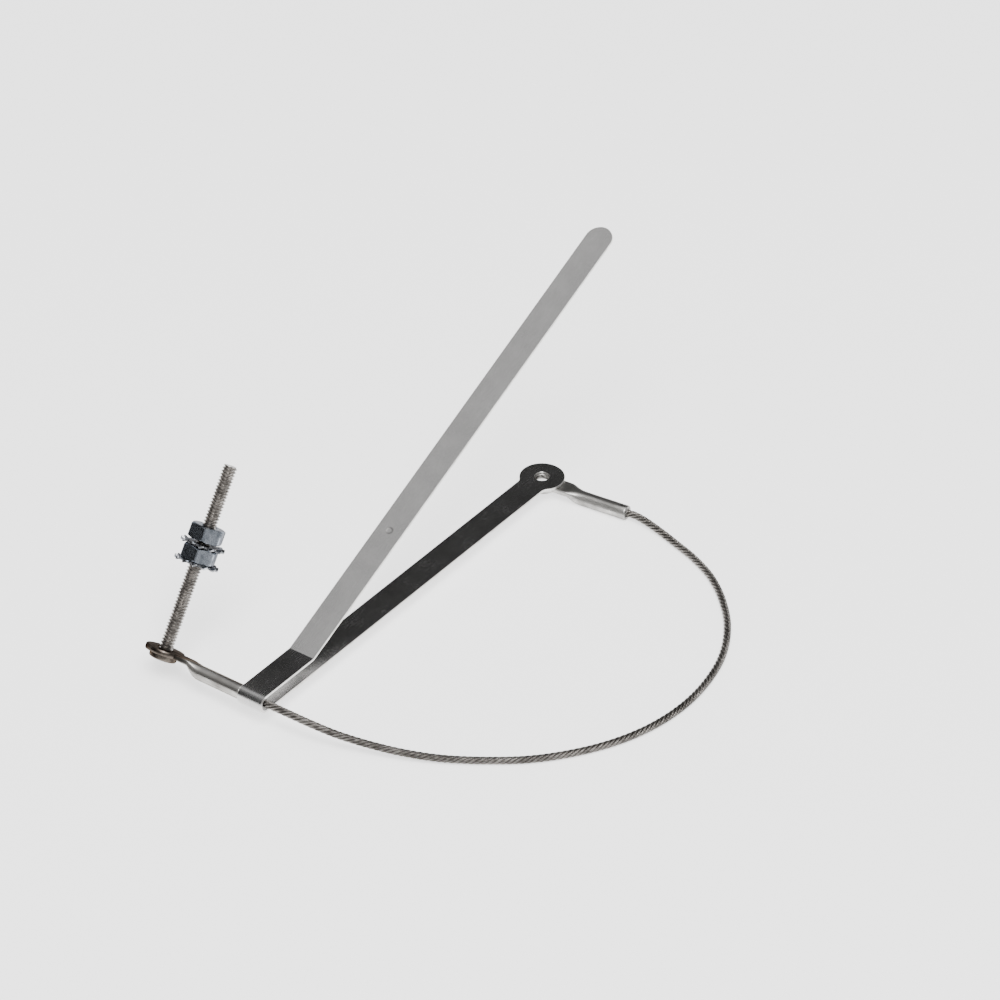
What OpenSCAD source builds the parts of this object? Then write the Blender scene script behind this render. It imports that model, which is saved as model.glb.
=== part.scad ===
// A bent flat strap with a wire rope that runs through its hairpin bend.
// The rope has a ring terminal on each end. One ring lies under the strap's
// lug, hole on hole. A long screw with two nuts and two star washers stands
// in the other ring.
//
// The origin is the centre of the lug's hole, halfway through the strap.
// The lower leg runs from the hairpin bend, at -X, to the lug. +Z is up.

/* [Strap] */
// Width of the strap
strap_w = 7.2; // [6:0.1:9]
// Thickness of the strap
strap_t = 0.7; // [0.5:0.05:0.8]
// Length of the lower leg, from the lug's hole to the centre of the bend
leg_len = 115; // [110:1:120]
// Outer radius of the hairpin bend
bend_r = 2.4; // [2.2:0.05:2.5]
// Length of the short upper section, from the centre of the bend to the crease
crease_len = 18; // [12:0.5:24]
// Length of the lever, from the crease to its round tip
lever_len = 135.5; // [100:0.5:140]
// Angle by which the lever rises from the lower leg
lever_rise = 24.5; // [15:0.5:30]
// Diameter of the round lug
lug_d = 11.4; // [9:0.1:14]
// Fillet between the lug and the lower leg
lug_fillet = 2; // [1:0.5:4]

/* [Holes] */
// Diameter of the lug's hole and of both terminals' holes
hole_d = 3.7; // [3.6:0.02:3.72]

/* [Terminals] */
// Thickness of the flat ring
ring_t = 1.4; // [1:0.1:1.8]
// Outer diameter of the flat ring
ring_d = 9.8; // [8:0.1:12]
// Outer diameter of the barrel that grips the rope
barrel_d = 3.8; // [3.6:0.1:4.2]
// Distance from the hole to the start of the barrel
barrel_start = 8.3; // [7.5:0.1:10]
// Distance from the hole to the barrel's mouth
barrel_end = 24.3; // [20:0.1:26]
// Angle by which the terminal under the lug is turned from straight across
lug_terminal_turn = 7; // [6:0.5:8]

/* [Rope] */
// Diameter of the wire rope
rope_d = 2; // [1.6:0.1:2.2]

/* [Screw] */
// Outside diameter of the screw's thread
screw_d = 3.52; // [3.5:0.01:3.56]
// Length of the screw under its head
screw_len = 48; // [45:0.5:52]
// Diameter of the screw's head
head_d = 6.9; // [6:0.1:7.5]
// Height of the screw's head
head_h = 1.4; // [1.2:0.1:2.2]
// Angle by which the screw leans from upright towards the lug
screw_lean = 34.5; // [25:0.1:40]

/* [Nuts and washers] */
// Width of a nut across its flats
nut_af = 7.94; // [7:0.02:8.5]
// Height of a nut
nut_h = 3.7; // [3:0.1:3.9]
// Height of the lower nut's underside above the middle of the ring
lower_nut_at = 22.9; // [20:0.1:24]
// Distance from the lower nut's underside to the upper nut's underside
nut_pitch = 5.3; // [5.3:0.05:7]

// How far the upper washer hangs loose below its nut
washer_drop = 0.7; // [0:0.05:0.7]
// Turn of both nuts about the screw
nut_turn = 22; // [0:0.5:60]
// Outer diameter of a star washer, over its teeth
washer_d = 11.1; // [10:0.1:12]
// Diameter of a star washer's plain body
washer_body_d = 8.6; // [8:0.1:9]
// Thickness of a star washer
washer_t = 0.5; // [0.4:0.05:0.6]
// Number of teeth on a star washer
teeth = 12; // [8:1:16]
// Twist of each tooth out of the washer's plane
tooth_twist = 14; // [0:1:16]

/* [Hidden] */
$fn = 64;
eps = 0.01;

// Running clearances between pieces that turn or slide on each other
face_gap = 0.05;
bore_gap = 0.06;
knuckle_gap = 0.05;

steel = [0.42, 0.41, 0.40];
bright_steel = [0.66, 0.66, 0.65];
rope_steel = [0.34, 0.33, 0.32];
screw_steel = [0.37, 0.34, 0.32];
zinc = [0.55, 0.60, 0.67];

// The strap's upper section lies this far above its lower leg, middle to middle
bend_mid_r = bend_r - strap_t / 2;
bend_z = bend_mid_r;
upper_z = 2 * bend_mid_r;
crease_x = -leg_len + crease_len;
knuckle_r = strap_t / 2;

// The lug's terminal lies flat under the lug
lug_terminal_z = -strap_t / 2 - face_gap - ring_t / 2;

// A terminal's ring is level with the top of its barrel
barrel_drop = barrel_d / 2 - ring_t / 2;

// The screw's terminal lies in line with the rope where it passes the bend
screw_terminal_x = -leg_len;
screw_terminal_y = strap_w / 2 + face_gap + barrel_end;

// The rope lies on the same surface as the lug terminal's barrel
rope_z = lug_terminal_z - barrel_drop - barrel_d / 2 + rope_d / 2;
rope_sides = 8;
ring_steps = 2;

// Where the rope leaves the lug terminal's barrel, and a little further on
function on_lug_barrel(d) =
    [d * sin(lug_terminal_turn), -d * cos(lug_terminal_turn),
        lug_terminal_z - barrel_drop];

// The rope's route, from the lug terminal round to the screw terminal
route = [
    on_lug_barrel(barrel_end),
    on_lug_barrel(barrel_end + 2.5),
    [3, -30.3, -2.6],
    [1.9, -35.8, -3],
    [0.3, -41.5, rope_z],
    [-1.9, -48, rope_z],
    [-5.7, -55.5, rope_z],
    [-11.7, -63, rope_z],
    [-19.7, -70, rope_z],
    [-29.7, -75.5, rope_z],
    [-40.7, -78.5, rope_z],
    [-51.7, -79.3, rope_z],
    [-62.7, -77.8, rope_z],
    [-72.7, -74.2, rope_z],
    [-81.7, -68.8, rope_z],
    [-89.7, -62, rope_z],
    [-96.2, -54, rope_z],
    [-101.9, -45.7, -2.9],
    [-106.2, -37.9, -2.2],
    [-109.5, -30.1, -1.3],
    [-112.3, -22.9, 0],
    [-114, -16.5, 1.2],
    [-114.8, -10.5, 1.9],
    [-115, -5, bend_z],
    [-115, 0, bend_z],
    [-115, screw_terminal_y - barrel_end, bend_z]
];

// A point on the smooth curve through the route, u running over its points
function route_end(i) = max(0, min(len(route) - 1, i));
function on_route(u) =
    let (
        i = min(floor(u), len(route) - 2),
        t = u - i,
        a = route[route_end(i - 1)],
        b = route[i],
        c = route[i + 1],
        d = route[route_end(i + 2)]
    )
    0.5 * (2 * b + (c - a) * t + (2 * a - 5 * b + 4 * c - d) * t * t
        + (3 * b - a - 3 * c + d) * t * t * t);
function unit(v) = v / norm(v);
function along_route(u) =
    unit(on_route(min(u + eps, len(route) - 1)) - on_route(max(u - eps, 0)));

// One ring of the rope's tube, square to the rope
function tube_ring(u) =
    let (
        centre = on_route(u),
        ahead = along_route(u),
        side = unit(cross(ahead, [0, 0, 1])),
        over = cross(side, ahead)
    )
    [for (k = [0 : rope_sides - 1])
        centre + rope_d / 2 * (side * cos(360 * k / rope_sides)
            + over * sin(360 * k / rope_sides))];

module from_profile(w) {
    rotate([90, 0, 0])
        translate([0, 0, -w / 2])
            linear_extrude(w)
                children();
}

// Both fillets between the leg and the round lug, as a flat outline
module lug_fillets() {
    centre_y = strap_w / 2 + lug_fillet;
    centre_x = -sqrt(pow(lug_d / 2 + lug_fillet, 2) - pow(centre_y, 2));
    for (side = [-1, 1])
        difference() {
            polygon([[centre_x, 0], [centre_x, side * centre_y], [0, 0]]);
            translate([centre_x, side * centre_y])
                circle(lug_fillet);
        }
}

// The lower leg's outline seen from above, with the lug
module leg_outline() {
    translate([-leg_len, -strap_w / 2])
        square([leg_len, strap_w]);
    circle(lug_d / 2);
    lug_fillets();
}

// The hairpin bend and the short section above the lower leg, seen from the side
module bend_profile() {
    translate([-leg_len, bend_z])
        difference() {
            circle(bend_r);
            circle(bend_r - strap_t);
            translate([0, -2 * bend_r])
                square(4 * bend_r);
        }
    translate([-leg_len, upper_z - strap_t / 2])
        square([crease_len - knuckle_r - knuckle_gap, strap_t]);
}

module strap_base() {
    color(steel)
        difference() {
            union() {
                translate([0, 0, -strap_t / 2])
                    linear_extrude(strap_t)
                        leg_outline();
                from_profile(strap_w)
                    bend_profile();
            }
            cylinder(h = 4 * strap_t, d = hole_d, center = true);
        }
}

// The long leg, which flexes about the crease; its end there is a round knuckle
module strap_lever() {
    straight = lever_len - strap_w / 2;
    color(steel)
        translate([crease_x, 0, upper_z])
            rotate([0, -lever_rise, 0]) {
                rotate([90, 0, 0])
                    cylinder(h = strap_w, r = knuckle_r, center = true);
                translate([0, -strap_w / 2, -strap_t / 2])
                    cube([straight, strap_w, strap_t]);
                translate([straight, 0, -strap_t / 2])
                    cylinder(h = strap_t, d = strap_w);
            }
}

module wire_rope() {
    last = (len(route) - 1) * ring_steps;
    rings = [for (i = [0 : last]) tube_ring(i / ring_steps)];
    points = [for (ring = rings) each ring];
    sides = [for (i = [0 : last - 1], k = [0 : rope_sides - 1])
        let (
            near = i * rope_sides,
            far = near + rope_sides,
            next = (k + 1) % rope_sides
        )
        [near + k, near + next, far + next, far + k]];
    start_cap = [for (k = [0 : rope_sides - 1]) rope_sides - 1 - k];
    end_cap = [for (k = [0 : rope_sides - 1]) last * rope_sides + k];
    color(rope_steel)
        polyhedron(points, concat([start_cap, end_cap], sides), 4);
}

// A ring terminal with its hole at the origin and its barrel along -Y
module terminal() {
    neck_w = 4.6;
    cone_len = 1.8;
    mouth = 0.3;
    barrel_r = barrel_d / 2;
    color(bright_steel)
        difference() {
            union() {
                translate([0, 0, -ring_t / 2])
                    linear_extrude(ring_t) {
                        circle(ring_d / 2);
                        polygon([
                            [-neck_w / 2, 0],
                            [neck_w / 2, 0],
                            [barrel_r * 0.8, -barrel_start - cone_len],
                            [-barrel_r * 0.8, -barrel_start - cone_len]
                        ]);
                    }
                translate([0, 0, -barrel_drop])
                    rotate([90, 0, 0])
                        rotate_extrude()
                            polygon([
                                [0, barrel_start],
                                [ring_t, barrel_start],
                                [barrel_r, barrel_start + cone_len],
                                [barrel_r, barrel_end - mouth],
                                [barrel_r - mouth, barrel_end],
                                [0, barrel_end]
                            ]);
            }
            cylinder(h = 3 * ring_t, d = hole_d, center = true);
        }
}

module lug_terminal() {
    translate([0, 0, lug_terminal_z])
        rotate(lug_terminal_turn)
            terminal();
}

// Puts its children in the screw's own frame: the origin is the middle of the
// terminal's ring and +Z runs along the screw towards its free end. The
// terminal's barrel is in line with the rope where it passes the bend.
module on_screw() {
    translate([screw_terminal_x, screw_terminal_y, bend_z])
        rotate([0, screw_lean, 0])
            translate([0, 0, barrel_drop])
                children();
}

module screw_terminal() {
    on_screw()
        terminal();
}

module screw() {
    under_head = -ring_t / 2 - face_gap;
    tip_chamfer = 0.4;
    screw_r = screw_d / 2;
    head_r = head_d / 2;
    slot_w = 0.9;
    slot_len = 3.6;
    slot_depth = 0.8;
    color(screw_steel)
        on_screw()
            translate([0, 0, under_head])
                difference() {
                    rotate_extrude()
                        polygon([
                            [0, -head_h],
                            [head_r * 0.7, -head_h],
                            [head_r * 0.92, -head_h * 0.75],
                            [head_r, -head_h * 0.35],
                            [head_r, 0],
                            [screw_r, 0],
                            [screw_r, screw_len - tip_chamfer],
                            [screw_r - tip_chamfer, screw_len],
                            [0, screw_len]
                        ]);
                    for (turn = [0, 90])
                        rotate(turn)
                            translate([-slot_len / 2, -slot_w / 2, -head_h - eps])
                                cube([slot_len, slot_w, slot_depth]);
                }
}

// A star washer whose upper face is at the given height on the screw
module star_washer(height) {
    inner_r = washer_body_d / 2 - 0.1;
    tooth_w = 1.1;
    color(bright_steel)
        on_screw()
            translate([0, 0, height - washer_t / 2])
                difference() {
                    union() {
                        cylinder(h = washer_t, d = washer_body_d, center = true);
                        for (k = [0 : teeth - 1])
                            rotate(360 * k / teeth)
                                translate([inner_r, 0, 0])
                                    rotate([tooth_twist, 0, 0])
                                        translate([0, -tooth_w / 2, -washer_t / 2])
                                            cube([washer_d / 2 - inner_r, tooth_w, washer_t]);
                    }
                    cylinder(h = 3 * washer_t, d = screw_d + 2 * bore_gap, center = true);
                }
}

// A hexagon nut whose underside is at the given height on the screw
module nut(height) {
    corner_r = nut_af / 2 / cos(30);
    chamfer = 0.35;
    edge = 0.02;
    color(zinc)
        on_screw()
            translate([0, 0, height])
                rotate(nut_turn)
                    difference() {
                        intersection() {
                            cylinder(h = nut_h, r = corner_r, $fn = 6);
                            rotate_extrude()
                                polygon([
                                    [0, 0],
                                    [nut_af / 2 - edge, 0],
                                    [corner_r + edge, chamfer],
                                    [corner_r + edge, nut_h - chamfer],
                                    [nut_af / 2 - edge, nut_h],
                                    [0, nut_h]
                                ]);
                        }
                        translate([0, 0, -eps])
                            cylinder(h = nut_h + 2 * eps, d = screw_d + 2 * bore_gap);
                    }
}

module lower_washer() {
    star_washer(lower_nut_at - face_gap);
}

module lower_nut() {
    nut(lower_nut_at);
}

module upper_washer() {
    star_washer(lower_nut_at + nut_pitch - face_gap - washer_drop);
}

module upper_nut() {
    nut(lower_nut_at + nut_pitch);
}

strap_base();
strap_lever();
wire_rope();
lug_terminal();
screw_terminal();
screw();
lower_washer();
lower_nut();
upper_washer();
upper_nut();
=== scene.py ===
import math
import random

import bmesh
import bpy
from mathutils import Matrix, Vector


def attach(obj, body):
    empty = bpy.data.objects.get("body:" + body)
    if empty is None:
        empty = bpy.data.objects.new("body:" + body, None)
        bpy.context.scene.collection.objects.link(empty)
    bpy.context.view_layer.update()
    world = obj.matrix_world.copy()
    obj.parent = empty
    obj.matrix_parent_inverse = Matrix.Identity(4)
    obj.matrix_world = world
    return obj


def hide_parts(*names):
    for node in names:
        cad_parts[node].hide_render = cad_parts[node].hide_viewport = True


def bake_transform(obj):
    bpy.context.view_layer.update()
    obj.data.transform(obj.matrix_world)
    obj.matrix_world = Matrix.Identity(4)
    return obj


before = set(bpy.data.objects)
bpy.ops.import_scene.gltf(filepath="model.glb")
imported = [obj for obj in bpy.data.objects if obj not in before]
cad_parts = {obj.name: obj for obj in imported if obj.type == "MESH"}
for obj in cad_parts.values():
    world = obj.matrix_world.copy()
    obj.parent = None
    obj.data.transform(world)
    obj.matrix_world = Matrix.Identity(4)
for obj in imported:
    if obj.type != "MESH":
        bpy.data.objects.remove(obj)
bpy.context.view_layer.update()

MM = 0.001

# The CAD source's own sizes, in millimetres and degrees, and its count of washer teeth
STRAP_W = 7.2
STRAP_T = 0.7
LEG_LEN = 115.0
BEND_R = 2.4
CREASE_LEN = 18.0
LEVER_LEN = 135.5
LEVER_RISE = 24.5
LUG_D = 11.4
LUG_FILLET = 2.0
LUG_TURN = 7.0
HOLE_D = 3.7
RING_T = 1.4
RING_D = 9.8
BARREL_D = 3.8
BARREL_END = 24.3
ROPE_D = 2.0
SCREW_D = 3.52
SCREW_LEN = 48.0
SCREW_LEAN = 34.5
HEAD_D = 6.9
HEAD_H = 1.4
NUT_AF = 7.94
NUT_H = 3.7
NUT_TURN = 22.0
LOWER_NUT_AT = 22.9
NUT_PITCH = 5.3
WASHER_D = 11.1
WASHER_BODY_D = 8.6
WASHER_T = 0.5
WASHER_DROP = 0.7
TEETH = 12
FACE_GAP = 0.05
BORE_GAP = 0.06

# Details that the CAD leaves out, in millimetres, and the count of a barrel's lobes
CREASE_ROUND = 1.1
MARK_PAST_CREASE = 38.3
THREAD_PITCH = 0.79375
THREAD_DEPTH = 0.4
LOBES = 6

# Texture units to a millimetre, so one unit is a centimetre
UV_PER_MM = 0.1

MID_R = BEND_R - STRAP_T / 2
BEND_LEN = math.pi * MID_R
UPPER_Z = 2 * MID_R
CREASE_X = -LEG_LEN + CREASE_LEN
CREASE_AT = LEG_LEN + BEND_LEN + CREASE_LEN
CREASE_CUT = CREASE_ROUND * math.tan(math.radians(LEVER_RISE / 2))
LUG_TERMINAL_Z = -STRAP_T / 2 - FACE_GAP - RING_T / 2
BARREL_DROP = BARREL_D / 2 - RING_T / 2
FLOOR_Z = LUG_TERMINAL_Z - BARREL_DROP - BARREL_D / 2
ROPE_Z = FLOOR_Z + ROPE_D / 2
RING_Y = STRAP_W / 2 + FACE_GAP + BARREL_END
UNDER_HEAD = -RING_T / 2 - FACE_GAP


# ---------------------------------------------------------------- camera

AZIMUTH = math.radians(-53.438)
ELEVATION = math.radians(35.957)
LENS = 216.4
CAMERA_BACK = 1499
CAMERA_RIGHT = -10.493
CAMERA_UP = -5.629

VIEW_RIGHT = Vector((math.cos(AZIMUTH), math.sin(AZIMUTH), 0))
VIEW_UP = Vector((-math.sin(AZIMUTH) * math.sin(ELEVATION),
                  math.cos(AZIMUTH) * math.sin(ELEVATION), math.cos(ELEVATION)))
VIEW_BACK = VIEW_RIGHT.cross(VIEW_UP)

camera_data = bpy.data.cameras.new("camera")
camera_data.sensor_width = 36
camera_data.lens = LENS
camera_data.clip_start = 0.05
camera_data.clip_end = 30
camera = bpy.data.objects.new("camera", camera_data)
bpy.context.scene.collection.objects.link(camera)
camera.location = (VIEW_BACK * CAMERA_BACK + VIEW_RIGHT * CAMERA_RIGHT
                   + VIEW_UP * CAMERA_UP) * MM
camera.rotation_euler = Matrix((VIEW_RIGHT, VIEW_UP, VIEW_BACK)).transposed().to_euler()
bpy.context.scene.camera = camera


# ---------------------------------------------------------------- meshes

class Skin:
    """Gathers faces by their corners' places, and welds corners that share a place."""

    def __init__(self):
        self.places = []
        self.faces = []
        self.kinds = []
        self.seen = {}

    def corner(self, place):
        """The number of the corner at a place, which is new if none is there yet."""
        key = tuple(round(c, 4) for c in place)
        if key not in self.seen:
            self.seen[key] = len(self.places)
            self.places.append(tuple(place))
        return self.seen[key]

    def face(self, corners, kind=0):
        """One face, unless its corners fall on fewer than three places."""
        ids = []
        for place in corners:
            i = self.corner(place)
            if i not in ids:
                ids.append(i)
        if len(ids) > 2:
            self.faces.append(ids)
            self.kinds.append(kind)

    def loops(self, rings, kind=0, closed=True):
        """Skins between rings of equally many points."""
        for a, b in zip(rings[:-1], rings[1:]):
            n = len(a)
            for k in range(n if closed else n - 1):
                m = (k + 1) % n
                self.face([a[k], a[m], b[m], b[k]], kind)

    def plan(self):
        """Each corner's first two numbers, as its place in the texture."""
        return [(p[0], p[1]) for p in self.places]


def build(name, places, faces, uvs, materials, kinds=None, smooth=32):
    """A mesh object from places in millimetres; uvs are one pair per vertex."""
    mesh = bpy.data.meshes.new(name)
    mesh.from_pydata([[c * MM for c in p] for p in places], [], faces)
    mesh.validate()
    layer = mesh.uv_layers.new(name="along")
    for loop in mesh.loops:
        layer.data[loop.index].uv = [c * UV_PER_MM for c in uvs[loop.vertex_index]]
    for material in materials:
        mesh.materials.append(material)
    if kinds and len(kinds) == len(mesh.polygons):
        for polygon, kind in zip(mesh.polygons, kinds):
            polygon.material_index = kind
    mesh.shade_smooth()
    mesh.set_sharp_from_angle(angle=math.radians(smooth))
    made = bpy.data.objects.new(name, mesh)
    bpy.context.scene.collection.objects.link(made)
    return made


def outward(made):
    """Turns every face of a closed mesh outwards."""
    work = bmesh.new()
    work.from_mesh(made.data)
    bmesh.ops.recalc_face_normals(work, faces=work.faces)
    work.to_mesh(made.data)
    work.free()


def arc(centre, radius, start, end, steps):
    """Points on an arc in a plane, angles in degrees, both ends included."""
    turns = [math.radians(start + (end - start) * i / steps) for i in range(steps + 1)]
    return [(centre[0] + radius * math.cos(a), centre[1] + radius * math.sin(a)) for a in turns]


# ---------------------------------------------------------------- materials

# The mix node's own sockets for colours
MIX_A, MIX_B, MIX_OUT = 6, 7, 2


def nodes_of(name):
    """A new material, with its node tree and its shader."""
    material = bpy.data.materials.new(name)
    material.use_nodes = True
    tree = material.node_tree
    return material, tree, tree.nodes["Principled BSDF"]


def add(tree, kind, **values):
    """A new node, with its inputs or its settings given by name."""
    node = tree.nodes.new(kind)
    for key, value in values.items():
        if key in node.inputs:
            node.inputs[key].default_value = value
        else:
            setattr(node, key, value)
    return node


def math_node(tree, operation, a, b=None):
    """One operation on sockets or plain numbers."""
    node = tree.nodes.new("ShaderNodeMath")
    node.operation = operation
    for i, value in enumerate((a, b)):
        if value is None:
            continue
        if isinstance(value, (int, float)):
            node.inputs[i].default_value = value
        else:
            tree.links.new(value, node.inputs[i])
    return node.outputs[0]


def remap(tree, value, a, b, low, high):
    """A smooth step from low to high as the value goes from a to b."""
    node = tree.nodes.new("ShaderNodeMapRange")
    node.interpolation_type = "SMOOTHSTEP"
    tree.links.new(value, node.inputs["Value"])
    for key, v in (("From Min", a), ("From Max", b), ("To Min", low), ("To Max", high)):
        node.inputs[key].default_value = v
    return node.outputs["Result"]


def coordinates(tree, kind):
    """A texture coordinate: UV, Object or Generated."""
    return tree.nodes.new("ShaderNodeTexCoord").outputs[kind]


def parts_of(tree, vector):
    """A vector's three numbers, each on a socket of its own."""
    split = tree.nodes.new("ShaderNodeSeparateXYZ")
    tree.links.new(vector, split.inputs[0])
    return split.outputs


def noise(tree, vector, scale, stretch=(1, 1, 1), detail=4, rough=0.55):
    """Noise between 0 and 1, finer along an axis whose stretch is above 1."""
    mapping = tree.nodes.new("ShaderNodeMapping")
    mapping.inputs["Scale"].default_value = stretch
    tree.links.new(vector, mapping.inputs["Vector"])
    texture = add(tree, "ShaderNodeTexNoise", Scale=scale, Detail=detail, Roughness=rough)
    tree.links.new(mapping.outputs["Vector"], texture.inputs["Vector"])
    return texture.outputs["Fac"]


def tint(tree, fac, dark, light):
    """A colour between a dark and a light one."""
    node = tree.nodes.new("ShaderNodeMix")
    node.data_type = "RGBA"
    tree.links.new(fac, node.inputs["Factor"])
    node.inputs[MIX_A].default_value = (*dark, 1)
    node.inputs[MIX_B].default_value = (*light, 1)
    return node.outputs[MIX_OUT]


def over_base(tree, shader, share, colour):
    """Lays a colour, or a socket's colour, over the shader's base colour."""
    mix = tree.nodes.new("ShaderNodeMix")
    mix.data_type = "RGBA"
    tree.links.new(share, mix.inputs["Factor"])
    tree.links.new(shader.inputs["Base Color"].links[0].from_socket, mix.inputs[MIX_A])
    if isinstance(colour, tuple):
        mix.inputs[MIX_B].default_value = (*colour, 1)
    else:
        tree.links.new(colour, mix.inputs[MIX_B])
    tree.links.new(mix.outputs[MIX_OUT], shader.inputs["Base Color"])


def over_bumps(tree, shader, bumps, height, strength, distance):
    """Lays a second bump over the metal's own grain."""
    more = add(tree, "ShaderNodeBump", Strength=strength, Distance=distance)
    tree.links.new(height, more.inputs["Height"])
    tree.links.new(bumps.outputs["Normal"], more.inputs["Normal"])
    tree.links.new(more.outputs["Normal"], shader.inputs["Normal"])


def metal(name, dark, light, rough, spread, grain, stretch, bump, uv=False, mottle=60):
    """A procedural metal: grain in one direction, mottled tone and uneven gloss."""
    material, tree, shader = nodes_of(name)
    vector = coordinates(tree, "UV" if uv else "Object")
    lines = noise(tree, vector, grain, stretch, 5, 0.6)
    patches = noise(tree, vector, mottle, (1, 1, 1), 3, 0.5)
    tone = math_node(tree, "ADD", math_node(tree, "MULTIPLY", lines, 0.5),
                     math_node(tree, "MULTIPLY", patches, 0.5))
    tree.links.new(tint(tree, remap(tree, tone, 0.35, 0.65, 0, 1), dark, light),
                   shader.inputs["Base Color"])
    tree.links.new(remap(tree, tone, 0.3, 0.7, rough + spread, rough - spread),
                   shader.inputs["Roughness"])
    shader.inputs["Metallic"].default_value = 1
    bumps = add(tree, "ShaderNodeBump", Strength=bump, Distance=0.00003)
    tree.links.new(lines, bumps.inputs["Height"])
    tree.links.new(bumps.outputs["Normal"], shader.inputs["Normal"])
    return material, tree, shader, bumps


def strap_metal():
    """Rolled strip: fine lines along its length, with a small round mark on the lever."""
    material, tree, shader, bumps = metal(
        "rolled_strip", (0.44, 0.435, 0.43), (0.56, 0.553, 0.545), 0.24, 0.05,
        6, (0.5, 60, 1), 0.25, uv=True, mottle=1.4)
    place = parts_of(tree, coordinates(tree, "UV"))
    mark_at = (CREASE_AT + MARK_PAST_CREASE) * UV_PER_MM
    mark_r, line_w = 0.085, 0.03
    beside = math_node(tree, "SUBTRACT", place[0], mark_at)
    away = math_node(tree, "SQRT", math_node(
        tree, "ADD", math_node(tree, "MULTIPLY", beside, beside),
        math_node(tree, "MULTIPLY", place[1], place[1])))
    off_line = math_node(tree, "ABSOLUTE", math_node(tree, "SUBTRACT", away, mark_r))
    line = remap(tree, off_line, 0.0, line_w, 1, 0)
    spot = remap(tree, away, 0.05, 0.1, 1, 0)
    over_base(tree, shader, math_node(tree, "MULTIPLY", line, 0.5), (0.2, 0.19, 0.18))
    over_bumps(tree, shader, bumps, math_node(tree, "SUBTRACT", 1, spot), 0.6, 0.00008)
    return material


def strand_metal():
    """A strand of fine wires: their lay is a bump across the strand's own length."""
    material, tree, shader, bumps = metal(
        "rope_wire", (0.07, 0.065, 0.06), (0.24, 0.225, 0.21), 0.36, 0.08,
        900, (1, 1, 1), 0.15, mottle=160)
    place = parts_of(tree, coordinates(tree, "UV"))
    wires, turns_per_unit = 6, 2.2
    turns = math_node(tree, "ADD",
                      math_node(tree, "MULTIPLY", place[0], -turns_per_unit * wires),
                      math_node(tree, "MULTIPLY", place[1], wires / UV_PER_MM))
    wave = math_node(tree, "SINE", math_node(tree, "MULTIPLY", turns, 2 * math.pi))
    # painted shade: the grooves between the strands are darkened where shade falls in them; v is
    # 0 on a strand's outer side
    inward = math_node(tree, "ABSOLUTE", math_node(tree, "MULTIPLY", place[1], 1 / UV_PER_MM))
    over_base(tree, shader, remap(tree, inward, 0.1, 0.24, 0, 0.9), (0.05, 0.045, 0.04))
    over_bumps(tree, shader, bumps, wave, 0.55, 0.00005)
    return material


def painted_shade_brown_metal():
    """The ring of the screw's terminal is painted browner and darker than its barrel, as painted
    shade; the screw's head takes this metal too.
    """
    material, tree, shader, _ = metal(
        "painted_shade_brown_steel", (0.20, 0.19, 0.18), (0.46, 0.45, 0.43), 0.34, 0.1,
        420, (1, 0.12, 1), 0.7, mottle=260)
    place = coordinates(tree, "Object")
    patches = noise(tree, place, 420, (1, 1, 1), 4, 0.6)
    wander = math_node(tree, "MULTIPLY", math_node(tree, "SUBTRACT", patches, 0.5), 0.006)
    along = math_node(tree, "ADD", parts_of(tree, place)[1], wander)
    # painted shade: the neck and ring grow darker and browner towards the ring
    begins, full = RING_Y - 10.5, RING_Y - 4
    brown = remap(tree, along, begins * MM, full * MM, 0, 1)
    umber, tan = (0.055, 0.045, 0.038), (0.16, 0.14, 0.12)
    over_base(tree, shader, brown, tint(tree, remap(tree, patches, 0.35, 0.65, 0, 1), umber, tan))
    shader.inputs["Specular Tint"].default_value = (*tan, 1)
    return material


def dull_edge(made, tone):
    """A metal whose glancing reflections are dulled to a faintly blue tone."""
    material, _, shader, _ = made
    shader.inputs["Specular Tint"].default_value = (tone, tone, tone * 1.03, 1)
    return material


STRIP = strap_metal()
# Painted highlight: the strip's cut edges and the upper lip of its hole get a lighter metal, for
# the bright line they show
EDGE_HIGHLIGHT = metal("painted_edge_highlight", (0.50, 0.49, 0.475), (0.76, 0.75, 0.73), 0.36, 0.1,
                9, (8, 1, 1), 0.5, uv=True, mottle=3)[0]
WIRE = strand_metal()
SWAGED = dull_edge(metal("swaged_steel", (0.24, 0.235, 0.225), (0.54, 0.53, 0.51), 0.34, 0.1,
                         420, (1, 0.12, 1), 0.7, mottle=260), 0.45)
# Painted shade: a darker, browner metal for the screw's terminal ring and the screw's head
PAINTED_SHADE_BROWN = painted_shade_brown_metal()
THREAD = metal("thread_steel", (0.15, 0.14, 0.13), (0.40, 0.38, 0.36), 0.33, 0.1,
               900, (1, 1, 0.5), 0.5, mottle=500)[0]
ZINC = dull_edge(metal("blue_zinc", (0.13, 0.145, 0.165), (0.42, 0.455, 0.51), 0.24, 0.08,
                       900, (1, 1, 0.35), 0.6, mottle=420), 0.3)
BRIGHT_ZINC = dull_edge(metal("bright_zinc", (0.07, 0.07, 0.075), (0.66, 0.68, 0.72), 0.26, 0.12,
                              900, (1, 1, 1), 0.6, mottle=700), 0.1)
# Painted shade: the walls of the holes get a darker metal, with dulled glancing reflections, for
# the shade inside them
BORE = dull_edge(metal("shaded_bore_wall", (0.05, 0.048, 0.045), (0.24, 0.235, 0.225), 0.45, 0.1,
                       700, (1, 1, 1), 0.5, mottle=700), 0.2)


# ---------------------------------------------------------------- wire rope

def on_lug_barrel(d):
    """A point on the middle line of the lug terminal's barrel, d out from the hole."""
    turn = math.radians(LUG_TURN)
    return (d * math.sin(turn), -d * math.cos(turn), LUG_TERMINAL_Z - BARREL_DROP)
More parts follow.
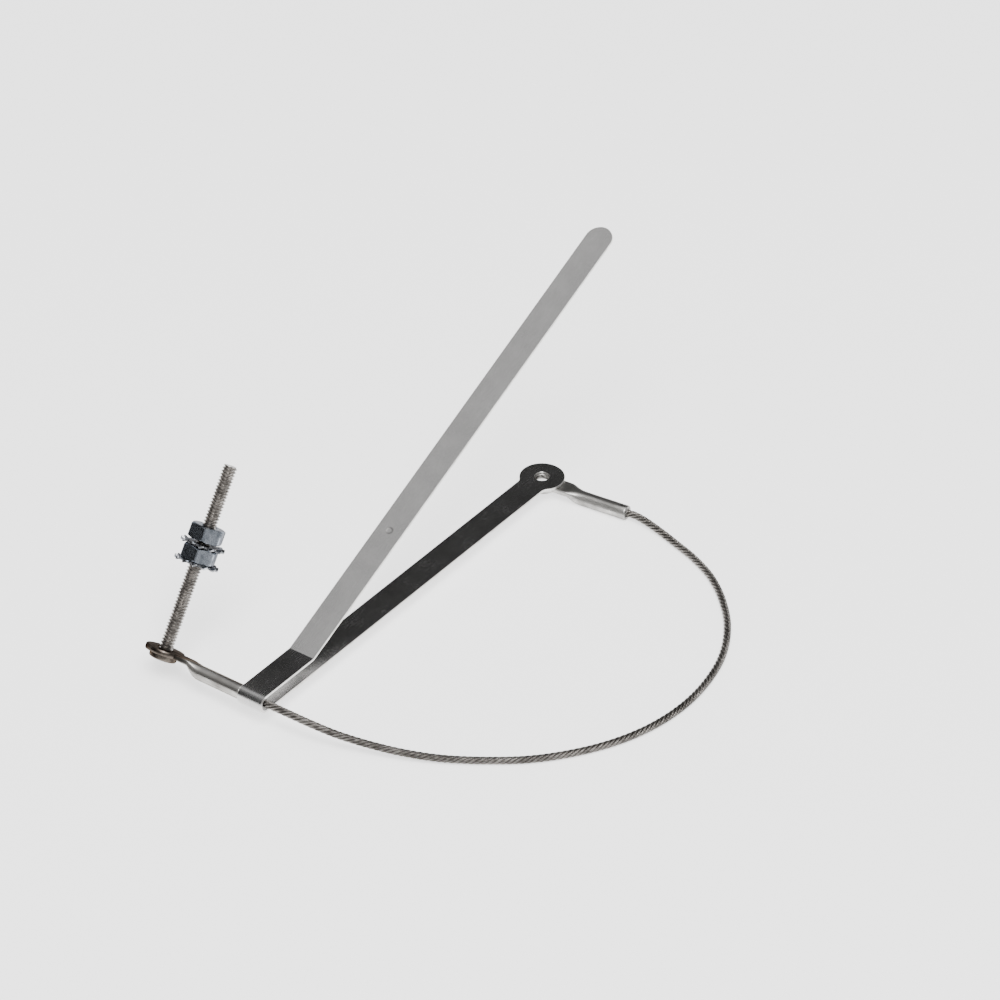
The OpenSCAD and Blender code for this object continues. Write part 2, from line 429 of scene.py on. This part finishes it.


# The rope's route from one barrel's mouth to the other's, in millimetres
ROUTE = [
    on_lug_barrel(BARREL_END),
    on_lug_barrel(BARREL_END + 2.5),
    (3, -30.3, -2.6),
    (1.9, -35.8, -3),
    (0.3, -41.5, ROPE_Z),
    (-1.9, -48, ROPE_Z),
    (-5.7, -55.5, ROPE_Z),
    (-11.7, -63, ROPE_Z),
    (-19.7, -70, ROPE_Z),
    (-29.7, -75.5, ROPE_Z),
    (-40.7, -78.5, ROPE_Z),
    (-51.7, -79.3, ROPE_Z),
    (-62.7, -77.8, ROPE_Z),
    (-72.7, -74.2, ROPE_Z),
    (-81.7, -68.8, ROPE_Z),
    (-89.7, -62, ROPE_Z),
    (-96.2, -54, ROPE_Z),
    (-101.9, -45.7, -2.9),
    (-106.2, -37.9, -2.2),
    (-109.5, -30.1, -1.3),
    (-112.3, -22.9, 0),
    (-114, -16.5, 1.2),
    (-114.8, -10.5, 1.9),
    (-115, -5, MID_R),
    (-115, 0, MID_R),
    (-115, RING_Y - BARREL_END, MID_R),
]


def on_route(u):
    """A point on the smooth curve through the route, u running over its points."""
    last = len(ROUTE) - 1
    i = min(int(u), last - 1)
    t = u - i
    a, b, c, d = (Vector(ROUTE[max(0, min(last, j))]) for j in (i - 1, i, i + 1, i + 2))
    return 0.5 * (2 * b + (c - a) * t + (2 * a - 5 * b + 4 * c - d) * t * t
                  + (3 * b - a - 3 * c + d) * t * t * t)


def rope_path(step):
    """Points along the route about one step apart, in millimetres, and its length."""
    per_point = 40
    fine = [on_route(i / per_point) for i in range(per_point * (len(ROUTE) - 1) + 1)]
    total = sum((b - a).length for a, b in zip(fine[:-1], fine[1:]))
    count = round(total / step)
    path, gone, next_at = [fine[0]], 0.0, total / count
    for a, b in zip(fine[:-1], fine[1:]):
        piece = (b - a).length
        while next_at <= gone + piece + 1e-9 and len(path) < count:
            path.append(a + (b - a) * ((next_at - gone) / piece))
            next_at += total / count
        gone += piece
    path.append(fine[-1])
    return path, total


def wire_rope():
    """Six strands laid right-handed round a core, following the route."""
    path, total = rope_path(0.45)
    lay, strands, sides = 9.0, 6, 9
    strand_r, core_r, inset = 0.345, 0.36, 0.03
    # the inset keeps every facet inside the rope's own diameter
    offset = ROPE_D / 2 - strand_r - inset
    strand_lean = math.atan(2 * math.pi * offset / lay)
    places, faces, uvs = [], [], []
    frames = []
    for i, p in enumerate(path):
        ahead = (path[min(i + 1, len(path) - 1)] - path[max(i - 1, 0)]).normalized()
        side = ahead.cross(Vector((0, 0, 1))).normalized()
        frames.append((p, ahead, side, side.cross(ahead)))
    step = total / (len(path) - 1)
    for s in range(strands + 1):
        is_core = s == strands
        radius = core_r if is_core else strand_r
        lean = 0 if is_core else strand_lean
        first = len(places)
        for i, (p, ahead, side, over) in enumerate(frames):
            angle = 2 * math.pi * (s / strands + i * step / lay)
            out = side * math.cos(angle) + over * math.sin(angle)
            round_it = over * math.cos(angle) - side * math.sin(angle)
            centre = p if is_core else p + out * offset
            across = round_it * math.cos(lean) - ahead * math.sin(lean)
            for k in range(sides):
                a = 2 * math.pi * k / sides
                places.append(centre + radius * (out * math.cos(a) + across * math.sin(a)))
                uvs.append((i * step, (k if k <= sides // 2 else k - sides) / sides))
        for i in range(len(frames) - 1):
            for k in range(sides):
                m = (k + 1) % sides
                base = first + i * sides
                faces.append((base + k, base + m, base + sides + m, base + sides + k))
        faces.append([first + k for k in range(sides)][::-1])
        faces.append([len(places) - sides + k for k in range(sides)])
    rope = build("wire_rope_strands", places, faces, uvs, [WIRE], smooth=60)
    return rope, [[c * MM for c in p] for p in path], total * MM


# ---------------------------------------------------------------- terminals

def lobed(half_w, half_h, roundness, depth, middle, along, count=40):
    """One closed cross-section of a terminal, square to its barrel. A roundness of 2 is an
    ellipse and more is boxier; depth is how far the swage's marks go in."""
    ring = []
    for k in range(count):
        phi = 2 * math.pi * k / count
        c, s = math.cos(phi), math.sin(phi)
        x = half_w * math.copysign(abs(c) ** (2 / roundness), c)
        z = half_h * math.copysign(abs(s) ** (2 / roundness), s)
        dip = 1 - depth * (0.5 - 0.5 * math.cos(LOBES * phi))
        ring.append((x * dip, -along, middle + z * dip))
    return ring


def terminal(name, place, steel):
    """A tube swaged on the rope, its end pressed flat into a ring."""
    skin = Skin()
    half, edge, radius, hole = RING_T / 2, 0.16, RING_D / 2, HOLE_D / 2
    # the ring's outline as radius and height, from its bore over its rim and back
    outline = (
        (hole, -half + edge), (hole, half - edge), (hole + edge, half),
        (radius - 1.4, half - 0.02), (radius - edge, half - 0.05),
        (radius, half - edge - 0.1), (radius, -half + edge + 0.1),
        (radius - edge, -half + 0.05), (hole + edge, -half), (hole, -half + edge))
    rings = []
    for r, z in outline:
        rings.append([(x, y, z) for x, y in arc((0, 0), r, 0, 360, 72)[:-1]])
    # the bore takes the darker metal, painted shade inside the hole
    skin.loops(rings[:2], 1)
    skin.loops(rings[1:])
    # the neck, the barrel and its mouth, in the order of lobed's arguments
    r, top, low, end = BARREL_D / 2, RING_T / 2, -BARREL_DROP, BARREL_END
    sections = [lobed(*row) for row in (
        (2.30, 0.64, 9, 0, 0, 3.2),
        (2.32, 0.66, 9, 0, 0, 5.0),
        (2.34, 0.67, 8, 0, 0, 6.6),
        (2.30, 0.68, 7, 0, 0, 7.6),
        (2.24, 0.74, 5, 0, top - 0.75, 8.2),
        (2.16, 0.98, 4.2, 0, top - 0.99, 8.7),
        (2.06, 1.35, 3.2, 0.01, top - 1.36, 9.4),
        (1.97, 1.68, 2.6, 0.02, top - 1.69, 10.2),
        (r, 1.85, 2.2, 0.03, low, 11.2),
        (r, r, 2, 0.04, low, 12.4),
        (r, r, 2, 0.04, low, 15.0),
        (r, r, 2, 0.04, low, 19.0),
        (r, r, 2, 0.035, low, 22.6),
        (r, r, 2, 0.01, low, end - 0.5),
        (r - 0.05, r - 0.05, 2, 0, low, end - 0.2),
        (r - 0.22, r - 0.22, 2, 0, low, end - 0.03),
        (r - 0.42, r - 0.42, 2, 0, low, end),
        (1.16, 1.16, 2, 0, low, end - 0.1),
        (1.06, 1.06, 2, 0, low, end - 0.35),
        (0.9, 0.9, 2, 0, low, end - 0.5))]
    skin.loops([s[::-1] for s in sections])
    skin.face(sections[0])
    skin.face(sections[-1][::-1])
    uvs = [(p[1], p[0]) for p in skin.places]
    made = build(name, skin.places, skin.faces, uvs, [steel, BORE], skin.kinds, smooth=38)
    made.data.transform(place)
    return made


ON_LUG = (Matrix.Translation((0, 0, LUG_TERMINAL_Z * MM))
          @ Matrix.Rotation(math.radians(LUG_TURN), 4, "Z"))
ON_SCREW = (Matrix.Translation((-LEG_LEN * MM, RING_Y * MM, MID_R * MM))
            @ Matrix.Rotation(math.radians(SCREW_LEAN), 4, "Y")
            @ Matrix.Translation((0, 0, BARREL_DROP * MM)))

rope, rope_points, rope_length = wire_rope()
lug_terminal = terminal("lug_ring_terminal", ON_LUG, SWAGED)
screw_terminal = terminal("screw_ring_terminal", ON_SCREW, PAINTED_SHADE_BROWN)


# ---------------------------------------------------------------- screw

def add_thread(places, faces, uvs):
    """A real helical thread, from just inside the head to a chamfered tip."""
    around, per_pitch = 36, 6
    major, minor = SCREW_D / 2, SCREW_D / 2 - THREAD_DEPTH
    tip_r, cap_r, chamfer = minor + 0.16, minor + 0.14, 0.9
    profile = (major, major, (major + minor) / 2, minor, minor, (major + minor) / 2)
    low, high = UNDER_HEAD - 0.02, UNDER_HEAD + SCREW_LEN
    rings = int((high - low) / THREAD_PITCH * per_pitch) + 2 * per_pitch
    for i in range(rings):
        for k in range(around):
            z = low + (i / per_pitch + k / around - 1) * THREAD_PITCH
            r = min(profile[i % per_pitch], tip_r + max(0.0, high - z) * chamfer)
            clamped = max(low, min(high, z))
            a = 2 * math.pi * k / around
            places.append((r * math.cos(a), r * math.sin(a), clamped))
            uvs.append((clamped, k / around))
    for i in range(rings - 1):
        for k in range(around):
            a, b = i * around + k, i * around + (k + 1) % around
            if k == around - 1:
                # the last column meets the first one a whole pitch further along
                b += per_pitch * around
                if b + around >= rings * around:
                    continue
            faces.append((a, b, b + around, a + around))
    tip = len(places)
    places.append((0, 0, high))
    uvs.append((high, 0))
    for k in range(around):
        a = 2 * math.pi * k / around
        places.append((cap_r * math.cos(a), cap_r * math.sin(a), high))
        uvs.append((high, 1))
        faces.append((tip, tip + 1 + k, tip + 1 + (k + 1) % around))


def add_head(places, faces, uvs):
    """The low head, from its rim under the ring to its face with a cross recess."""
    radius, top, steps, inner = HEAD_D / 2, UNDER_HEAD, 96, 27
    face_r = radius - 0.6
    arm_half, arm_reach, recess = 0.52, 1.85, 0.75
    outline = ((SCREW_D / 2 - 0.3, top), (radius - 0.12, top), (radius, top - 0.12),
               (radius, top - HEAD_H * 0.5), (radius - 0.05, top - HEAD_H * 0.72),
               (radius - 0.25, top - HEAD_H * 0.9), (face_r, top - HEAD_H * 0.99))
    turns = [2 * math.pi * k / steps for k in range(steps)]
    rows = [[(r * math.cos(a), r * math.sin(a), z) for a in turns] for r, z in outline]
    for j in range(1, inner):
        r = face_r * (1 - j / inner)
        row = []
        for a in turns:
            x, y = r * math.cos(a), r * math.sin(a)
            arm = min(abs(x), abs(y))
            reach = max(abs(x), abs(y))
            wall = min(max((arm_half - arm) / 0.12, 0), max((arm_reach - reach) / 0.2, 0), 1)
            row.append((x, y, top - HEAD_H + wall * (recess - 0.12 * reach)))
        rows.append(row)
    first = len(places)
    for row in rows:
        places.extend(row)
        uvs.extend((p[0], p[1]) for p in row)
    for j in range(len(rows) - 1):
        here, there = first + j * steps, first + (j + 1) * steps
        for k in range(steps):
            m = (k + 1) % steps
            faces.append((there + k, there + m, here + m, here + k))
    centre = len(places)
    places.append((0, 0, top - HEAD_H + recess))
    uvs.append((0, 0))
    last = first + (len(rows) - 1) * steps
    for k in range(steps):
        faces.append((centre, last + (k + 1) % steps, last + k))


def screw():
    """A machine screw with its real helical thread and a low head with a cross recess."""
    places, faces, uvs = [], [], []
    add_thread(places, faces, uvs)
    kinds = [0] * len(faces)
    add_head(places, faces, uvs)
    kinds += [1] * (len(faces) - len(kinds))
    # the head takes the darker, browner metal of the terminal's ring: painted shade
    made = build("machine_screw", places, faces, uvs, [THREAD, PAINTED_SHADE_BROWN], kinds, smooth=28)
    made.data.transform(ON_SCREW)
    return made


# ---------------------------------------------------------------- nuts and washers

def nut(name, height):
    """A hexagon nut, chamfered on both faces, with a countersunk bore."""
    flat, bore = NUT_AF / 2, SCREW_D / 2 + BORE_GAP
    steps, sink, sink_w, chamfer = 120, 0.35, 0.3, 0.577
    rows = [[] for _ in range(10)]
    for k in range(steps):
        phi = 2 * math.pi * k / steps
        from_flat = (math.degrees(phi) + 30) % 60 - 30
        reach = flat / math.cos(math.radians(30 - abs(from_flat)))
        soft = min(reach, flat / math.cos(math.radians(30)) - 0.05)
        drop = (soft - flat + 0.08) * chamfer
        # radius and height, from the bore's near end over the outside to its far end
        outline = (
            (bore, sink), (bore + sink_w, 0), (flat - 0.12, 0), (soft - 0.03, drop),
            (soft, drop + 0.05), (soft, NUT_H - drop - 0.05), (soft - 0.03, NUT_H - drop),
            (flat - 0.12, NUT_H), (bore + sink_w, NUT_H), (bore, NUT_H - sink))
        for row, (r, z) in zip(rows, outline):
            row.append((r * math.cos(phi), r * math.sin(phi), z))
    skin = Skin()
    skin.loops(rows + [rows[0]])
    made = build(name, skin.places, skin.faces, skin.plan(), [ZINC], smooth=20)
    made.data.transform(ON_SCREW @ Matrix.Translation((0, 0, height * MM))
                        @ Matrix.Rotation(math.radians(NUT_TURN), 4, "Z"))
    return made


def tooth(skin, at, lean):
    """One washer tooth, which twists by its lean as it goes outwards."""
    body, tip, thick = WASHER_BODY_D / 2, WASHER_D / 2, WASHER_T / 2 - 0.015
    out = Vector((math.cos(at), math.sin(at), 0))
    along = Vector((-math.sin(at), math.cos(at), 0))
    # a cross-section's corners, as shares of its half width and half thickness
    corners = ((-1, -0.7), (-0.93, -1), (0.93, -1), (1, -0.7),
               (1, 0.7), (0.93, 1), (-0.93, 1), (-1, 0.7))
    sections = []
    # each cross-section's radius, half width and share of the lean
    for r, width, share in ((body - 0.35, 0.78, 0), (body + 0.05, 0.76, 0.15),
                            (body + 0.3, 0.72, 0.5), (body + 0.6, 0.68, 0.85),
                            (body + 0.95, 0.63, 1.0), (tip - 0.1, 0.58, 1.0),
                            (tip - 0.03, 0.5, 1.0)):
        tilt = math.radians(lean * share)
        flat_way = along * math.cos(tilt) + Vector((0, 0, 1)) * math.sin(tilt)
        up_way = out.cross(flat_way)
        sections.append([tuple(out * r + flat_way * (w * width) + up_way * (h * thick))
                         for w, h in corners])
    skin.loops(sections)
    skin.face(sections[0][::-1])
    skin.face(sections[-1])


def star_washer(name, height, seed):
    """An external-tooth lock washer: a thin ring whose teeth twist out of its plane."""
    chance = random.Random(seed)
    skin = Skin()
    half = WASHER_T / 2
    body, bore = WASHER_BODY_D / 2, SCREW_D / 2 + BORE_GAP
    rings = []
    for r, z in ((bore, -half), (bore, half), (body - 0.04, half), (body, half - 0.04),
                 (body, -half + 0.04), (body - 0.04, -half), (bore, -half)):
        rings.append([(x, y, z) for x, y in arc((0, 0), r, 0, 360, 96)[:-1]])
    skin.loops(rings)
    for t in range(TEETH):
        tooth(skin, 2 * math.pi * t / TEETH, 30 + chance.uniform(-5, 5))
    made = build(name, skin.places, skin.faces, skin.plan(), [BRIGHT_ZINC], smooth=35)
    made.data.transform(ON_SCREW @ Matrix.Translation((0, 0, (height - half) * MM)))
    return made


UPPER_NUT_AT = LOWER_NUT_AT + NUT_PITCH

machine_screw = screw()
lower_nut = nut("lower_hex_nut", LOWER_NUT_AT)
upper_nut = nut("upper_hex_nut", UPPER_NUT_AT)
lower_washer = star_washer("lower_star_washer", LOWER_NUT_AT - FACE_GAP, 3)
upper_washer = star_washer("upper_star_washer", UPPER_NUT_AT - FACE_GAP - WASHER_DROP, 8)


# ---------------------------------------------------------------- strap

def fold(s, h):
    """The strip's place seen from the side: s runs along it from the lug's hole, and h is
    the height off its middle, towards the inside of the hairpin bend."""
    rise = math.radians(LEVER_RISE)
    if s <= LEG_LEN:
        return -s, h
    if s <= LEG_LEN + BEND_LEN:
        u = (s - LEG_LEN) / MID_R
        r = MID_R - h
        return -LEG_LEN - r * math.sin(u), MID_R - r * math.cos(u)
    d = s - CREASE_AT
    if d < -CREASE_CUT:
        return CREASE_X + d, UPPER_Z - h
    if d > CREASE_CUT:
        return (CREASE_X + d * math.cos(rise) + h * math.sin(rise),
                UPPER_Z + d * math.sin(rise) - h * math.cos(rise))
    a = rise * (d + CREASE_CUT) / (2 * CREASE_CUT)
    r = CREASE_ROUND + h
    return (CREASE_X - CREASE_CUT + r * math.sin(a), UPPER_Z + CREASE_ROUND - r * math.cos(a))


def strap():
    """One strip: a round lug with its hole, the lower leg, the bend, the crease, the lever."""
    half_w, half_t, edge = STRAP_W / 2, STRAP_T / 2, 0.07
    across = [i / 4 - 1 for i in range(9)]
    joins_at = 9.0
    hole_r = HOLE_D / 2
    skin = Skin()

    def lug_outline(inset):
        """The lug from above: along one side, round its end and back along the other."""
        r, f, w = LUG_D / 2 - inset, LUG_FILLET + inset, half_w - inset
        cy = half_w + LUG_FILLET
        cx = math.sqrt((LUG_D / 2 + LUG_FILLET) ** 2 - cy ** 2)
        meet = math.degrees(math.atan2(cy, cx))
        side = [(joins_at, w), ((joins_at + cx) / 2, w)]
        side += arc((cx, cy), f, 270, 180 + meet, 6)
        side += arc((0, 0), r, meet, 180, 30)[1:]
        return side + [(x, -y) for x, y in side[-2::-1]]

    closing = [(joins_at, f * (half_w - edge)) for f in across]
    top = lug_outline(edge)
    side = lug_outline(0)
    loop = closing[:-1] + top[:-1]

    def hole_at(points, radius):
        """The points moved straight in to a circle round the hole."""
        return [(radius * x / math.hypot(x, y), radius * y / math.hypot(x, y)) for x, y in points]

    def lift(points, h):
        """The points at a height off the strip's middle."""
        return [(x, y, h) for x, y in points]

    near, far = hole_at(loop, hole_r + edge), hole_at(loop, hole_r)
    middle = [((x + a * 1.5) / 2.5, (y + b * 1.5) / 2.5) for (x, y), (a, b) in zip(loop, near)]
    skin.loops([lift(loop, half_t), lift(middle, half_t), lift(near, half_t)])
    skin.loops([lift(near, half_t), lift(far, half_t - edge)], 1)
    # the hole's wall takes the darker metal, painted shade inside the hole
    skin.loops([lift(far, half_t - edge), lift(far, -half_t + edge), lift(near, -half_t)], 2)
    skin.loops([lift(near, -half_t), lift(middle, -half_t), lift(loop, -half_t)])
    skin.loops([lift(top, -half_t), lift(side, -half_t + edge), lift(side, half_t - edge),
                lift(top, half_t)], 1, closed=False)

    def section(s, w):
        """The strip's cross-section at s, w to each side, with its edges cut off."""
        inner = max(w - edge, 0.01)
        ring = [(s, f * inner, half_t) for f in across]
        ring += [(s, w, half_t - edge), (s, w, -half_t + edge)]
        ring += [(s, f * inner, -half_t) for f in across[::-1]]
        ring += [(s, -w, -half_t + edge), (s, -w, half_t - edge)]
        return ring

    def spread(start, length, steps):
        """Even steps along a length, without its start and with its end."""
        return [start + length * i / steps for i in range(1, steps + 1)]

    straight = LEVER_LEN - half_w
    stations = [joins_at] + spread(joins_at, LEG_LEN - joins_at, 40)
    stations += spread(LEG_LEN, BEND_LEN, 28)
    stations += spread(LEG_LEN + BEND_LEN, CREASE_LEN - CREASE_CUT, 6)
    stations += spread(CREASE_AT - CREASE_CUT, 2 * CREASE_CUT, 6)
    # along the lever the cross-sections are closest by the crease, where it flexes
    stations += [CREASE_AT + CREASE_CUT + share ** 1.35 * (straight - CREASE_CUT)
                 for share in spread(0, 1, 52)]
    rings = [section(s, half_w) for s in stations]
    for a in (8, 16, 24, 32, 40, 48, 56, 63, 70, 76, 81, 85, 88):
        rings.append(section(CREASE_AT + straight + half_w * math.sin(math.radians(a)),
                             half_w * math.cos(math.radians(a))))
    n, rim = len(rings[0]), len(across)
    for a, b in zip(rings[:-1], rings[1:]):
        for k in range(n):
            m = (k + 1) % n
            # the edge faces take the lighter metal, a painted highlight
            on_edge = k in (rim - 1, rim, rim + 1, n - 3, n - 2, n - 1)
            skin.face([a[k], a[m], b[m], b[k]], 1 if on_edge else 0)
    skin.face(rings[-1], 1)

    places = []
    for s, y, h in skin.places:
        x, z = fold(s, h)
        places.append((x, y, z))
    return build("bent_strap", places, skin.faces, skin.plan(), [STRIP, EDGE_HIGHLIGHT, BORE],
                 skin.kinds, smooth=30)


bent_strap = strap()

for piece in (rope, lug_terminal, screw_terminal, machine_screw, lower_nut, upper_nut,
              lower_washer, upper_washer, bent_strap):
    outward(piece)


# ---------------------------------------------------------------- the frame

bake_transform(bent_strap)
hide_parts("strap_base", "strap_lever")

for piece, body, node, name in (
        (rope, "cable", "wire_rope", "rope"),
        (lug_terminal, "cable", "lug_terminal", "terminal"),
        (screw_terminal, "cable", "screw_terminal", "terminal"),
        (machine_screw, "screw", "screw", "screw"),
        (lower_nut, "lower_nut", "lower_nut", "nut"),
        (upper_nut, "upper_nut", "upper_nut", "nut"),
        (lower_washer, "lower_washer", "lower_washer", "washer"),
        (upper_washer, "upper_washer", "upper_washer", "washer")):
    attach(piece, body)
    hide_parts(node)


# ---------------------------------------------------------------- floor and light

def floor():
    """A pale, faintly mottled disc under the part, which glows a little of its own."""
    material, tree, shader = nodes_of("pale_floor")
    grain = noise(tree, coordinates(tree, "Object"), 30, (1, 1, 1), 4, 0.5)
    tree.links.new(tint(tree, grain, (0.9, 0.9, 0.9), (0.93, 0.93, 0.93)),
                   shader.inputs["Base Color"])
    shader.inputs["Roughness"].default_value = 0.75
    shader.inputs["Specular IOR Level"].default_value = 0.2
    shader.inputs["Emission Color"].default_value = (1, 1, 1, 1)
    shader.inputs["Emission Strength"].default_value = 1.5
    mesh = bpy.data.meshes.new("floor")
    radius, steps = 4.0, 64
    ring = arc((0, 0), radius, 0, 360, steps)[:-1]
    mesh.from_pydata([(x, y, FLOOR_Z * MM) for x, y in ring], [], [list(range(steps))])
    mesh.materials.append(material)
    made = bpy.data.objects.new("floor", mesh)
    bpy.context.scene.collection.objects.link(made)
    return made


def area_light(name, towards, distance, size, power):
    """A rectangular light that looks at the part from one direction, in metres and watts."""
    aim = Vector((-0.05, 0, 0.01))
    data = bpy.data.lights.new(name, "AREA")
    data.shape = "RECTANGLE"
    data.size, data.size_y = size
    data.energy = power
    made = bpy.data.objects.new(name, data)
    bpy.context.scene.collection.objects.link(made)
    made.location = aim + Vector(towards).normalized() * distance
    made.rotation_euler = (made.location - aim).to_track_quat("Z", "Y").to_euler()


def facing(tree, direction, towards):
    """How nearly a direction points one way: 1 is straight along it."""
    dot = tree.nodes.new("ShaderNodeVectorMath")
    dot.operation = "DOT_PRODUCT"
    tree.links.new(direction, dot.inputs[0])
    dot.inputs[1].default_value = Vector(towards).normalized()
    return dot.outputs["Value"]


def studio():
    """A pale room, with darker walls and one brighter for the flat faces to mirror."""
    world = bpy.data.worlds.new("studio")
    bpy.context.scene.world = world
    world.use_nodes = True
    tree = world.node_tree
    background = tree.nodes["Background"]
    direction = coordinates(tree, "Generated")
    level = remap(tree, parts_of(tree, direction)[2], 0.84, 0.98, 0.52, 1.8)
    # each wall's direction, how near to it the change is full and where it ends, as
    # cosines, and its amount: less light, or more where it is added
    for towards, near, far, operation, amount in (
            ((0.65, 0.482, 0.587), 0.95, 0.87, "SUBTRACT", 0.93),
            ((-0.587, 0.482, 0.65), 0.95, 0.86, "SUBTRACT", 0.6),
            ((-0.70, 0.64, 0.30), 0.955, 0.88, "SUBTRACT", 0.92),
            ((-0.28, -0.95, 0.05), 0.92, 0.75, "SUBTRACT", 0.6),
            ((0.87, 0.48, 0.10), 0.95, 0.86, "ADD", 0.7)):
        change = remap(tree, facing(tree, direction, towards), far, near, 0, amount)
        level = math_node(tree, "MULTIPLY", level, math_node(tree, operation, 1, change))
    tree.links.new(level, background.inputs["Strength"])
    background.inputs["Color"].default_value = (1.0, 1.0, 1.0, 1)


ground = floor()
studio()
area_light("key", (-0.35, -0.3, 0.9), 1.6, (0.9, 0.9), 34)
